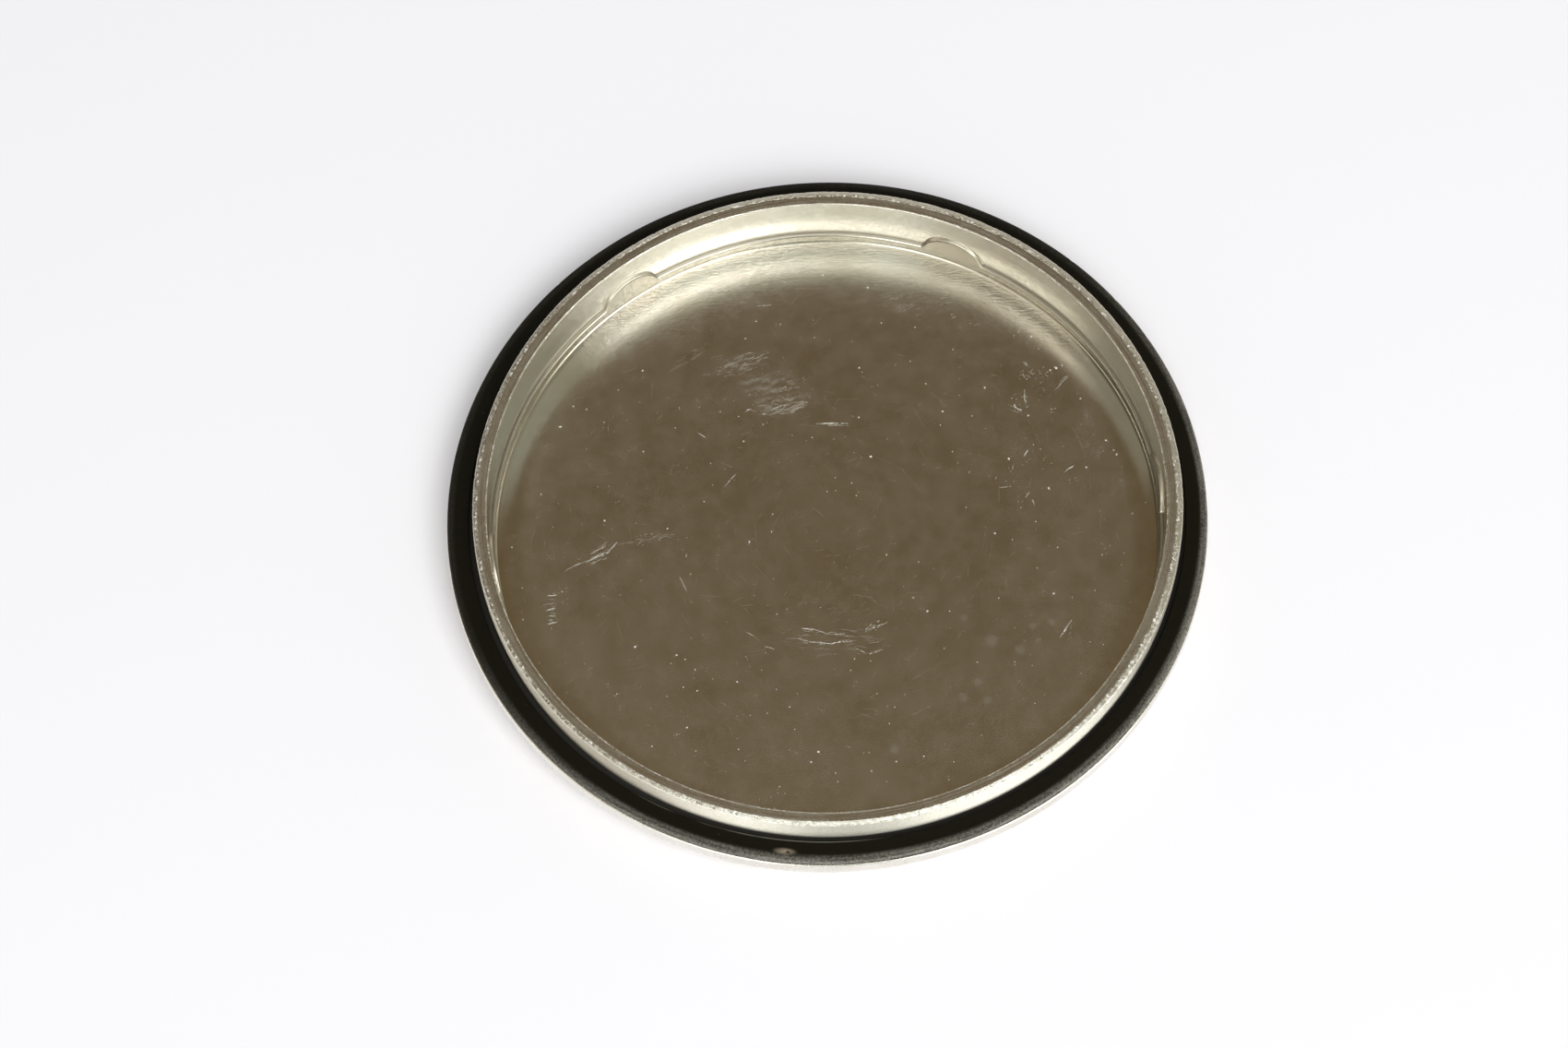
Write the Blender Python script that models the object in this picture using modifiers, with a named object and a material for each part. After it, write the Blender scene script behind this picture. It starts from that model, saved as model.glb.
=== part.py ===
"""Shoe polish tin, one half, open side up.

A shallow round tin made of four turned pieces: a pressed outer shell, a collar
that the other half pushes onto, a bright floor liner inside the collar with
six half-moon tabs on its edge, and a black sealing ring above the collar's
flange.

Frame: +Z is up and is the tin's turning axis. The origin is the middle of the
flat underside, so the tin stands on z = 0. Units are metres.
"""
import math

import bmesh
import bpy
from mathutils import Matrix

MM = 0.001

# Turning
TURN_STEPS = 96                 # segments round every turned piece
MERGE_DISTANCE = 0.01 * MM      # joins the seam and the points on the axis

# Outer shell: a pressed dish
SHELL_R = 36.20 * MM            # outside radius of the upright side
SHELL_T = 0.32 * MM             # sheet thickness
SHELL_IN_R = SHELL_R - SHELL_T
SHELL_TOP = 4.40 * MM           # height of the upright side's edge
SHELL_FLAT_R = 31.0 * MM        # radius of the flat face it rests on
SHELL_FOOT_H = 3.40 * MM        # height of the curved foot
SHELL_FOOT_STEPS = 6

# Collar
COLLAR_TOP = 7.60 * MM          # flat top, the highest point of the tin
COLLAR_IN_R = 32.10 * MM        # inner wall
COLLAR_OUT_R = 33.70 * MM       # outside at the bead, and below the flange
COLLAR_NECK_R = 33.55 * MM      # outside between the bead and the flange
COLLAR_FLAT_R = 33.05 * MM      # where the flat top ends and the chamfer starts
COLLAR_FOOT_Z = 1.10 * MM       # lower end of the collar
COLLAR_EDGE_BREAK = 0.08 * MM   # small bevel on the inner top edge
CHAMFER_H = 0.30 * MM           # height of the outer chamfer
BEAD_H = 0.70 * MM              # height of the bead under the chamfer
BEAD_TAPER_H = 0.35 * MM        # height of the slope from bead to neck
BEAD_TOP = COLLAR_TOP - CHAMFER_H
BEAD_BOTTOM = BEAD_TOP - BEAD_H

# Flange round the collar
FLANGE_TOP = 4.30 * MM
FLANGE_T = 0.50 * MM
FLANGE_BOTTOM = FLANGE_TOP - FLANGE_T
FLANGE_R = 35.45 * MM

# Floor liner
FLOOR_TOP = 0.90 * MM           # height of the bright floor
LINER_T = 0.32 * MM
LINER_IN_R = 31.50 * MM         # inside of the turned-up edge
LINER_OUT_R = LINER_IN_R + LINER_T
LINER_FILLET = 0.35 * MM        # inside corner between floor and edge
LINER_FILLET_STEPS = 4
UPSTAND_TOP = 2.40 * MM         # height of the edge between the tabs

# Half-moon tabs
TAB_COUNT = 6
TAB_TOP = 4.70 * MM             # highest point of each tab
TAB_HALF_W = 3.05 * MM          # half width where a tab leaves the edge
TAB_PHASE = math.radians(64.3)  # direction of the first tab, from +X

# Cutters that shape the tabs
LINER_TRIM = 0.1 * MM           # liner height above the tabs, cut away
SLEEVE_RISE = 1.0 * MM          # sleeve height above the tabs
SLEEVE_MARGIN = 0.6 * MM        # sleeve beyond each face of the liner's edge
TAB_CUTTER_DEPTH = 4.0 * MM     # radial length of each tab cylinder
TAB_CUTTER_SEGMENTS = 40

# Sealing ring
RING_IN_R = 34.00 * MM
RING_OUT_R = 36.10 * MM
RING_BOTTOM = 4.60 * MM
RING_TOP = 5.20 * MM
RING_SHOULDER_W = 0.70 * MM     # width of the rounded outer shoulder
RING_SHOULDER_H = 0.45 * MM     # height of the rounded outer shoulder
RING_SHOULDER_STEPS = 6
RING_EDGE_BREAK = 0.12 * MM     # small bevel on the inner top edge


# ------------------------------------------------------------------- helpers
def clear_scene():
    for old in list(bpy.data.objects):
        bpy.data.objects.remove(old, do_unlink=True)


def new_collection(name):
    collection = bpy.data.collections.new(name)
    bpy.context.scene.collection.children.link(collection)
    return collection


def material(name, colour, roughness, metallic):
    mat = bpy.data.materials.new(name)
    mat.use_nodes = True
    inputs = mat.node_tree.nodes["Principled BSDF"].inputs
    inputs["Base Color"].default_value = (*colour, 1.0)
    inputs["Roughness"].default_value = roughness
    inputs["Metallic"].default_value = metallic
    mat.diffuse_color = (*colour, 1.0)
    return mat


def arc(centre, radii, start, end, steps):
    """Points on an ellipse arc in the (radius, height) plane; angles in degrees."""
    points = []
    for i in range(steps + 1):
        angle = math.radians(start + (end - start) * i / steps)
        points.append((centre[0] + radii[0] * math.cos(angle),
                       centre[1] + radii[1] * math.sin(angle)))
    return points


def turned(name, profile, closed, collection):
    """A turned solid: a profile of (radius, height) points with a Screw.

    An open profile starts and ends on the axis.
    """
    mesh = bpy.data.meshes.new(name)
    bm = bmesh.new()
    verts = [bm.verts.new((radius, 0.0, z)) for radius, z in profile]
    for start, end in zip(verts, verts[1:]):
        bm.edges.new((start, end))
    if closed:
        bm.edges.new((verts[-1], verts[0]))
    bm.to_mesh(mesh)
    bm.free()

    obj = bpy.data.objects.new(name, mesh)
    collection.objects.link(obj)
    screw = obj.modifiers.new("turn", 'SCREW')
    screw.axis = 'Z'
    screw.angle = 2.0 * math.pi
    screw.steps = TURN_STEPS
    screw.render_steps = TURN_STEPS
    screw.use_merge_vertices = True
    screw.merge_threshold = MERGE_DISTANCE
    screw.use_smooth_shade = True
    return obj


def subtract(obj, cutter, name):
    cut = obj.modifiers.new(name, 'BOOLEAN')
    cut.operation = 'DIFFERENCE'
    cut.solver = 'EXACT'
    cut.object = cutter


# -------------------------------------------------------------------- pieces
def build_outer_shell(collection):
    # From the axis out along the inside, over the flat edge of the upright
    # side, and back down the outside to the axis.
    foot_centre = (SHELL_FLAT_R, SHELL_FOOT_H)
    inner_radii = (SHELL_IN_R - SHELL_FLAT_R, SHELL_FOOT_H - SHELL_T)
    outer_radii = (SHELL_R - SHELL_FLAT_R, SHELL_FOOT_H)
    profile = [
        (0.0, SHELL_T),
        *arc(foot_centre, inner_radii, start=-90.0, end=0.0, steps=SHELL_FOOT_STEPS),
        (SHELL_IN_R, SHELL_TOP),
        (SHELL_R, SHELL_TOP),
        *arc(foot_centre, outer_radii, start=0.0, end=-90.0, steps=SHELL_FOOT_STEPS),
        (0.0, 0.0),
    ]
    shell = turned("outer_shell", profile, closed=False, collection=collection)
    shell.data.materials.append(material(
        "shell_metal", colour=(0.78, 0.77, 0.73), roughness=0.22, metallic=1.0))


def build_collar_ring(collection):
    # From the inner top edge outwards, down the outside and up the inner wall.
    profile = [
        (COLLAR_IN_R + COLLAR_EDGE_BREAK, COLLAR_TOP),
        (COLLAR_FLAT_R, COLLAR_TOP),
        (COLLAR_OUT_R, BEAD_TOP),
        (COLLAR_OUT_R, BEAD_BOTTOM),
        (COLLAR_NECK_R, BEAD_BOTTOM - BEAD_TAPER_H),
        (COLLAR_NECK_R, FLANGE_TOP),
        (FLANGE_R, FLANGE_TOP),
        (FLANGE_R, FLANGE_BOTTOM),
        (COLLAR_OUT_R, FLANGE_BOTTOM),
        (COLLAR_OUT_R, COLLAR_FOOT_Z),
        (COLLAR_IN_R, COLLAR_FOOT_Z),
        (COLLAR_IN_R, COLLAR_TOP - COLLAR_EDGE_BREAK),
    ]
    collar = turned("collar_ring", profile, closed=True, collection=collection)
    collar.data.materials.append(material(
        "collar_metal", colour=(0.80, 0.78, 0.72), roughness=0.14, metallic=1.0))


def build_tab_outlines(collection):
    """Radial cylinders, each through its tab's two feet and its top."""
    tab_h = TAB_TOP - UPSTAND_TOP
    circle_r = (TAB_HALF_W ** 2 + tab_h ** 2) / (2.0 * tab_h)
    to_edge = Matrix.Translation((LINER_IN_R, 0.0, TAB_TOP - circle_r))
    lay_radial = Matrix.Rotation(math.pi / 2.0, 4, 'Y')

    bm = bmesh.new()
    for i in range(TAB_COUNT):
        direction = TAB_PHASE + i * 2.0 * math.pi / TAB_COUNT
        bmesh.ops.create_cone(
            bm, cap_ends=True, segments=TAB_CUTTER_SEGMENTS,
            radius1=circle_r, radius2=circle_r, depth=TAB_CUTTER_DEPTH,
            matrix=Matrix.Rotation(direction, 4, 'Z') @ to_edge @ lay_radial)
    mesh = bpy.data.meshes.new("tab_outlines")
    bm.to_mesh(mesh)
    bm.free()
    outlines = bpy.data.objects.new("tab_outlines", mesh)
    collection.objects.link(outlines)
    return outlines


def build_tab_sleeve(collection):
    """A sleeve over the liner's edge, with the tab outlines cut out of it."""
    inner_r = LINER_IN_R - SLEEVE_MARGIN
    outer_r = LINER_OUT_R + SLEEVE_MARGIN
    top = TAB_TOP + SLEEVE_RISE
    profile = [(outer_r, top), (outer_r, UPSTAND_TOP),
               (inner_r, UPSTAND_TOP), (inner_r, top)]
    sleeve = turned("tab_sleeve", profile, closed=True, collection=collection)
    subtract(sleeve, build_tab_outlines(collection), "keep_tabs")
    return sleeve


def build_floor_liner(collection, cutter_collection):
    # A cup turned up past the tabs' full height. The slotted sleeve then cuts
    # its edge down and leaves the half-moons standing.
    centre = (LINER_IN_R - LINER_FILLET, FLOOR_TOP + LINER_FILLET)
    outer_fillet = LINER_FILLET + LINER_T
    blank_top = TAB_TOP + LINER_TRIM
    profile = [
        (0.0, FLOOR_TOP),
        *arc(centre, (LINER_FILLET, LINER_FILLET),
             start=-90.0, end=0.0, steps=LINER_FILLET_STEPS),
        (LINER_IN_R, blank_top),
        (LINER_OUT_R, blank_top),
        *arc(centre, (outer_fillet, outer_fillet),
             start=0.0, end=-90.0, steps=LINER_FILLET_STEPS),
        (0.0, FLOOR_TOP - LINER_T),
    ]
    liner = turned("floor_liner", profile, closed=False, collection=collection)
    subtract(liner, build_tab_sleeve(cutter_collection), "trim_edge")
    liner.data.materials.append(material(
        "liner_metal", colour=(0.74, 0.70, 0.62), roughness=0.08, metallic=1.0))


def build_sealing_ring(collection):
    profile = [
        (RING_IN_R + RING_EDGE_BREAK, RING_TOP),
        *arc((RING_OUT_R - RING_SHOULDER_W, RING_TOP - RING_SHOULDER_H),
             (RING_SHOULDER_W, RING_SHOULDER_H),
             start=90.0, end=0.0, steps=RING_SHOULDER_STEPS),
        (RING_OUT_R, RING_BOTTOM),
        (RING_IN_R, RING_BOTTOM),
        (RING_IN_R, RING_TOP - RING_EDGE_BREAK),
    ]
    ring = turned("sealing_ring", profile, closed=True, collection=collection)
    ring.data.materials.append(material(
        "seal_rubber", colour=(0.012, 0.011, 0.009), roughness=0.55, metallic=0.0))


# --------------------------------------------------------------------- build
clear_scene()
tin = new_collection("shoe_polish_tin")
cutters = new_collection("cutters")

build_outer_shell(tin)
build_collar_ring(tin)
build_floor_liner(tin, cutters)
build_sealing_ring(tin)

for cutter in cutters.objects:
    cutter.hide_render = True
    cutter.display_type = 'WIRE'
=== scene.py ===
"""One half of a round, shallow metal tin, open side up, on a pale floor.

The axis is Z through the origin and the tin stands on z = 0. The camera looks
down from -Y, so -Y is the front, +Y the far side and +X the right. Nested from
the outside: the shell, the black seal, the collar, and the liner with its
scratched floor. Sizes are in millimetres unless a comment says otherwise.
"""

import math
import random
from functools import reduce

import bmesh
import bpy
import numpy as np
from mathutils import Matrix, Vector, noise


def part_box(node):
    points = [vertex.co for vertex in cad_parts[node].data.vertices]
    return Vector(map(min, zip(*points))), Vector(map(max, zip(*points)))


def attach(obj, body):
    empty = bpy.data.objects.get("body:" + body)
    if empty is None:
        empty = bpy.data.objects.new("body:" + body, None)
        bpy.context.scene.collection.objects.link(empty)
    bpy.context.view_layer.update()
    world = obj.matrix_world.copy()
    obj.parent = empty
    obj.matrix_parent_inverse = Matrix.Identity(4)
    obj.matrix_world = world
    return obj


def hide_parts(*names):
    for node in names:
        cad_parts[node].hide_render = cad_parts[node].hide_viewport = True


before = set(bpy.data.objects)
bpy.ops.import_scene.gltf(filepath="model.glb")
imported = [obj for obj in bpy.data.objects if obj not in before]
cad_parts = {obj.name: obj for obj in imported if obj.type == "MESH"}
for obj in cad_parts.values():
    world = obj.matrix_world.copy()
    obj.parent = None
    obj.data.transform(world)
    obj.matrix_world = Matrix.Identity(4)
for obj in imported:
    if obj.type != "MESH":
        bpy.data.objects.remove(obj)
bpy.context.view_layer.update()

MM = 0.001                      # metres in a millimetre
STEPS = 720      # points round the shell and the seal
FINE_STEPS = STEPS * 2                  # points round the collar and the liner

# ------------------------------------------------------------ driving sizes
shell_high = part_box("outer_shell")[1]
collar_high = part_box("collar_ring")[1]
liner_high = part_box("floor_liner")[1]
seal_low, seal_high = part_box("sealing_ring")

TOP = collar_high.z / MM        # flat top of the collar
SHELL_R = shell_high.x / MM
SHELL_TOP = shell_high.z / MM
SEAL_R = seal_high.x / MM
SEAL_TOP = seal_high.z / MM
SEAL_LOW = seal_low.z / MM

BORE_R = 32.10                  # nominal inner wall of the collar
COLLAR_FLAT = 33.05             # outer edge of the collar's flat top
COLLAR_OUT = 33.60
NECK_R = 33.50                  # outside of the collar below its head

FLOOR_Z = 0.84                  # floor at its edge; the middle is domed
LINER_R = 31.80                 # inside of the liner's turned-up edge
LINER_T = 0.31
BAND_Z = 2.15                   # top of the turned-up edge between tabs
TAB_TOP = liner_high.z / MM     # top of the half-moon tabs
TAB_FIRST = 64.3                # first tab, degrees from +X
TAB_COUNT = 6
TAB_HALF = 3.05                 # half a tab's width along the edge
TAB_ARC_R = (TAB_HALF ** 2 + (TAB_TOP - BAND_Z) ** 2) / (2 * (TAB_TOP - BAND_Z))


# -------------------------------------------------------------- turned meshes
def wobble(seed, harmonics, count):
    """A periodic wobble round the circle, as a sum of sines, from -1 to 1."""
    draw = random.Random(seed)
    angle = np.arange(count) * 2 * math.pi / count
    total = np.zeros(count)
    weight = 0.0
    for k in harmonics:
        amount = 1.0 / math.sqrt(k)
        total += amount * np.sin(k * angle + draw.uniform(0, 2 * math.pi))
        weight += amount
    return total / weight


def dents(seed, number, count, width, depth):
    """Small dips round the circle, width in degrees: 0 outside, down to -depth."""
    draw = random.Random(seed)
    degrees = np.arange(count) * 360.0 / count
    dips = np.zeros(count)
    for _ in range(number):
        centre = draw.uniform(0, 360)
        spread = draw.uniform(*width)
        deep = draw.uniform(0.3, 1.0) * depth
        gap = (degrees - centre + 180) % 360 - 180
        dips = np.minimum(dips, -deep * np.exp(-(gap / spread) ** 2))
    return dips


def link_object(name, mesh):
    obj = bpy.data.objects.new(name, mesh)
    bpy.context.scene.collection.objects.link(obj)
    return obj


def lathe(name, profile, steps, closed, warp):
    """Turn a profile of (radius, z) points that runs down the outer side.

    warp(radius, z, angle) moves the points; radius and z have a row for each
    profile point. An open profile begins and ends with a pole on the axis.
    """
    points = np.array(profile, float)
    count = len(points)
    angle = np.arange(steps) * 2 * math.pi / steps
    radius = np.repeat(points[:, 0][:, None], steps, 1)
    z = np.repeat(points[:, 1][:, None], steps, 1)
    radius, z = warp(radius, z, angle)
    first, last = (0, count) if closed else (1, count - 1)
    verts = []
    for j in range(first, last):
        x = radius[j] * np.cos(angle)
        y = radius[j] * np.sin(angle)
        verts.extend(zip(x * MM, y * MM, z[j] * MM))
    pairs = [(j, j + 1) for j in range(first, last - 1)]
    if closed:
        pairs.append((count - 1, 0))
    here = np.arange(steps)
    after = (here + 1) % steps
    faces = []
    for a, b in pairs:
        row_a, row_b = (a - first) * steps, (b - first) * steps
        faces.extend(zip(row_a + here, row_b + here, row_b + after, row_a + after))
    if not closed:
        final_row = len(verts) - steps
        pole = len(verts)
        verts.append((0.0, 0.0, float(z[0].mean()) * MM))
        verts.append((0.0, 0.0, float(z[-1].mean()) * MM))
        faces.extend(zip([pole] * steps, here, after))
        faces.extend(zip([pole + 1] * steps, final_row + after, final_row + here))
    mesh = bpy.data.meshes.new(name)
    mesh.from_pydata([tuple(map(float, v)) for v in verts], [],
                     [tuple(map(int, f)) for f in faces])
    mesh.validate()
    mesh.update()
    mesh.shade_smooth()
    return link_object(name, mesh)


def arc(centre_r, centre_z, half_r, half_z, start, end, count):
    """count + 1 points of an ellipse, from start to end degrees."""
    return [(centre_r + half_r * math.cos(math.radians(start + (end - start) * i / count)),
             centre_z + half_z * math.sin(math.radians(start + (end - start) * i / count)))
            for i in range(count + 1)]


def line(p, q, count):
    """count - 1 points between p and q, both ends left out."""
    return [(p[0] + (q[0] - p[0]) * i / count, p[1] + (q[1] - p[1]) * i / count)
            for i in range(1, count)]


# --------------------------------------------------------------- outer shell
def build_shell():
    wall = 0.32
    inside = SHELL_R - wall
    foot_r, foot_h = 31.0, 3.4      # where the bottom's big corner starts and ends
    lip = 0.14                      # height of the rounded rim
    prof = [(0.0, wall)]
    prof += line((0, wall), (foot_r, wall), 6)
    prof += arc(foot_r, foot_h, inside - foot_r, foot_h - wall, -90, 0, 14)
    prof += line((inside, foot_h), (inside, SHELL_TOP - lip), 3)
    prof += arc((inside + SHELL_R) / 2, SHELL_TOP - lip, wall / 2, lip, 180, 0, 8)
    prof += line((SHELL_R, SHELL_TOP - lip), (SHELL_R, foot_h), 4)
    prof += arc(foot_r, foot_h, SHELL_R - foot_r, foot_h, 0, -90, 18)
    prof += line((foot_r, 0), (0, 0), 10)
    prof += [(0.0, 0.0)]
    dips = dents(11, 26, STEPS, (0.25, 0.9), 0.035)
    waves = wobble(12, range(2, 9), STEPS)

    def warp(radius, z, angle):
        side = np.clip((z - 0.6) / 1.5, 0, 1) * (radius > 33)
        return radius + side * (dips + 0.012 * (waves - 1)), z
    return lathe("outer_shell_skin", prof, STEPS, False, warp)


# --------------------------------------------------------------- collar ring
# The inner wall is a little narrower at mid height: heights and radii
WALL_Z = (1.1, 2.2, 3.0, 3.8, 4.4, 4.9, 5.6, 6.4, 7.1, 7.5)
WALL_R = (32.135, 32.130, 32.097, 32.062, 32.042, 32.040, 32.060, 32.098, 32.132, 32.148)


def wall_radius(z):
    return float(np.interp(z, WALL_Z, WALL_R))


def build_collar():
    head = 1.6                      # depth of the wide head's straight side
    edge = 0.12                     # rounding of the inner top edge
    corner, corner_drop = 0.24, 0.362       # outer corner's radius and depth
    foot = 1.10
    # outside, from the flat top's outer edge down to the neck
    prof = [(COLLAR_FLAT - 0.03, TOP), (COLLAR_FLAT, TOP - 0.003)]
    prof += [(COLLAR_FLAT + 0.06, TOP - 0.006), (COLLAR_FLAT + 0.11, TOP - 0.016)]
    prof += line(prof[-1], (COLLAR_OUT - 0.142, TOP - 0.143), 4)
    prof += arc(COLLAR_OUT - corner, TOP - corner_drop, corner, corner, 66, 0, 8)
    prof += line((COLLAR_OUT, TOP - corner_drop), (COLLAR_OUT, TOP - head), 8)
    prof += [(COLLAR_OUT, TOP - head), (COLLAR_OUT - 0.02, TOP - 1.72),
             (NECK_R + 0.02, TOP - 1.95), (NECK_R, TOP - 2.05)]
    prof += line((NECK_R, TOP - 2.05), (NECK_R, 4.32), 4)
    # the flange, then the skirt below it
    prof += [(NECK_R, 4.32), (NECK_R + 0.02, 4.30)]
    prof += [(35.40, 4.30), (35.45, 4.25), (35.45, 3.85), (35.40, 3.80)]
    prof += [(33.72, 3.80), (33.70, 3.78), (33.70, 1.14), (33.66, foot),
             (BORE_R + 0.04, foot), (wall_radius(1.14), 1.14)]
    # up the inner wall and over the inner top edge
    heights = np.linspace(1.14, TOP - edge, 40)
    prof += [(wall_radius(float(z)), float(z)) for z in heights[1:]]
    top_r = wall_radius(TOP - edge)
    prof += arc(top_r + edge, TOP - edge, edge, edge, 172, 90, 6)
    prof += line((top_r + edge, TOP), (COLLAR_FLAT - 0.03, TOP), 6)
    dips = dents(21, 220, FINE_STEPS, (0.08, 0.30), 0.07)
    nicks = dents(22, 150, FINE_STEPS, (0.06, 0.22), 0.05)

    def warp(radius, z, angle):
        # the outside is turned a little off the bore's centre
        outside = np.clip((radius - 32.9) / 0.4, 0, 1) * (radius < 34) * (z > 4.4)
        radius = radius + outside * (0.10 * np.cos(angle) + 0.12 * np.sin(angle))
        outer_edge = np.clip((z - (TOP - 0.55)) / 0.25, 0, 1) * (radius > 33.2)
        radius = radius + outer_edge * (0.6 * dips)
        z = z + outer_edge * (0.5 * dips)
        inner_edge = np.clip((z - (TOP - 0.12)) / 0.06, 0, 1) * (radius < top_r + 0.14)
        return radius - inner_edge * nicks, z + inner_edge * nicks
    return lathe("collar_ring_skin", prof, FINE_STEPS, True, warp)


# --------------------------------------------------------------- floor liner
def floor_height(x, y):
    """Height of the pressed floor, which isn't quite flat."""
    fade = max(0.0, min(1.0, (31.2 - math.hypot(x, y)) / 3.0))
    broad = noise.noise(Vector((x * 0.09, y * 0.09, 3.1)))
    fine = noise.noise(Vector((x * 0.35, y * 0.35, 7.7)))
    dome = 0.185 * (1 - min(1.0, math.hypot(x, y) / 31.0) ** 4)
    return FLOOR_Z + dome + fade * (0.010 * broad + 0.0016 * fine)


def tab_height(angle):
    """Height of the liner's edge, and how far into a tab it is (0 to 1)."""
    pitch = 360.0 / TAB_COUNT
    off = (np.degrees(angle) - TAB_FIRST + pitch / 2) % pitch - pitch / 2
    along = np.radians(off) * LINER_R
    inside = np.abs(along) < TAB_HALF
    z = np.full_like(angle, BAND_Z)
    z[inside] = (TAB_TOP - TAB_ARC_R) + np.sqrt(TAB_ARC_R ** 2 - along[inside] ** 2)
    return z, np.where(inside, 1 - (along / TAB_HALF) ** 2, 0.0)


# Top of the turned-up edge, inner side first: distance out from the inner
# face, height from the edge's height, extra height at a tab
LINER_LIP = ((0.035, -0.060, 0), (0.08, -0.020, 0), (0.14, 0.0, 0),
             (0.22, 0.012, 0.09), (LINER_T, 0.020, 0.15))
LIP_DROP = 0.14                 # where the lip starts below the edge's height
UP_STEPS = 10


def build_liner():
    bend = 0.15                 # inside radius of the corner
    under = FLOOR_Z - LINER_T
    rings = np.concatenate([np.linspace(0.5, 30.5, 46), [31.0, 31.3, 31.5]])
    prof = [(0.0, floor_height(0, 0))]
    prof += [(float(ring), FLOOR_Z) for ring in rings]
    prof += arc(LINER_R - bend, FLOOR_Z + bend, bend, bend, -90, 0, 8)
    # warp sets the points of the upright, the lip and the outer side
    up = len(prof)
    lip = up + UP_STEPS
    down = lip + len(LINER_LIP)
    prof += [(LINER_R, BAND_Z)] * (down + 2 - up)
    prof += arc(LINER_R - bend, FLOOR_Z + bend, bend + LINER_T, bend + LINER_T, 0, -90, 8)
    prof += line((LINER_R - bend, under), (0, under), 6)
    prof += [(0.0, under)]

    def warp(radius, z, angle):
        top, depth = tab_height(angle)
        base = FLOOR_Z + bend
        lean = 0.012 * (top - BAND_Z)
        for i in range(UP_STEPS):
            part = (i + 1) / UP_STEPS
            z[up + i] = base + (top - LIP_DROP - base) * part
            radius[up + i] = LINER_R + lean * part ** 2
        for i, (out, rise, tab_rise) in enumerate(LINER_LIP):
            radius[lip + i] = LINER_R + lean + out
            z[lip + i] = top + rise + tab_rise * np.clip(depth * 4, 0, 1)
        radius[down] = LINER_R + lean + LINER_T
        z[down] = top - LIP_DROP
        radius[down + 1] = LINER_R + LINER_T
        z[down + 1] = base + 0.5
        for j in range(1, len(rings) + 1):
            ring = radius[j, 0]
            for i in range(FINE_STEPS):
                z[j, i] = floor_height(ring * math.cos(angle[i]), ring * math.sin(angle[i]))
        return radius, z
    return lathe("floor_liner_skin", prof, FINE_STEPS, False, warp)


# -------------------------------------------------------------- sealing ring
def build_seal():
    inside = 34.00
    edge = 0.10                             # inner top rounding
    shoulder_r, shoulder_z = 0.72, 0.45     # outer top rounding
    low_out, low_in = 0.05, 0.08            # roundings of the underside
    prof = arc(inside + edge, SEAL_TOP - edge, edge, edge, 180, 90, 6)
    prof += line((inside + edge, SEAL_TOP), (SEAL_R - shoulder_r, SEAL_TOP), 6)
    prof += arc(SEAL_R - shoulder_r, SEAL_TOP - shoulder_z, shoulder_r, shoulder_z, 90, 0, 14)
    prof += line((SEAL_R, SEAL_TOP - shoulder_z), (SEAL_R, SEAL_LOW + low_out), 2)
    prof += arc(SEAL_R - low_out, SEAL_LOW + low_out, low_out, low_out, 0, -90, 3)
    prof += line((SEAL_R - low_out, SEAL_LOW), (inside + low_in, SEAL_LOW), 4)
    prof += arc(inside + low_in, SEAL_LOW + low_in, low_in, low_in, -90, -180, 3)
    waves = wobble(31, range(2, 16), STEPS)
    nicks = dents(32, 14, STEPS, (0.2, 0.5), 0.045)

    def warp(radius, z, angle):
        far = (0.5 + 0.5 * np.sin(angle)) ** 2
        outer = np.clip((radius - 34.9) / 1.0, 0, 1)
        # the shoulder is rubbed down less on the far side
        shoulder = np.clip((SEAL_TOP - z) / 0.45, 0, 1) * (z > SEAL_TOP - 0.46) * (radius > 35)
        z = z + shoulder * 0.24 * far
        radius = radius + outer * 0.085 * far
        radius = radius + outer * (0.018 * (waves - 1) + nicks)
        inner = np.clip((34.3 - radius) / 0.3, 0, 1)
        return radius + inner * 0.03 * (waves[::-1] + 1), z
    return lathe("sealing_ring_skin", prof, STEPS, True, warp)


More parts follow.
